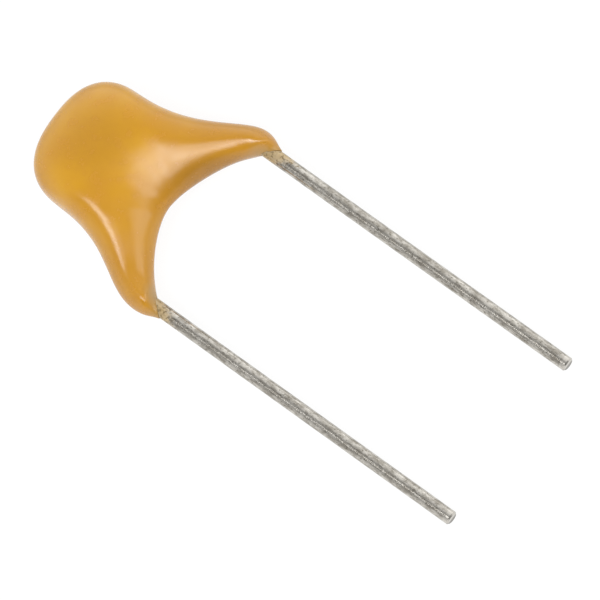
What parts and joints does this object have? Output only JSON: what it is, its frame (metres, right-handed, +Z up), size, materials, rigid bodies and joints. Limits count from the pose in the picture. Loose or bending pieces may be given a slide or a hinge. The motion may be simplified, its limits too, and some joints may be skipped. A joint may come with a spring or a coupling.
{
  "type": "multilayer ceramic capacitor",
  "caption": "Radial leaded ceramic capacitor: a dipped epoxy body with two flared legs and two straight tinned wire leads, lying flat as it comes to rest.",
  "frame": {"origin": "middle of the bounding box, on the surface that the part lies on", "axes": "+X from the left lead to the right lead, +Y away from the lead tips towards the top of the body, +Z up from the surface"},
  "size_m": [0.006, 0.0154, 0.0023],
  "materials": {
    "coating": "dipped epoxy powder coat, glossy golden ochre",
    "ceramic": null,
    "electrode": "sintered nickel, dull grey",
    "end_cap": "fired copper under tin plate, satin",
    "solder": "tin solder, satin",
    "lead_wire": "tin plated copper-clad steel wire, satin, faintly rough"
  },
  "bodies": {
    "root": {"coating": "coating", "dielectric": "ceramic", "electrodes_left": "electrode", "electrodes_right": "electrode", "termination_left": "end_cap", "termination_right": "end_cap", "solder_left": "solder", "solder_right": "solder", "lead_left": "lead_wire", "lead_right": "lead_wire"}
  },
  "joints": []
}
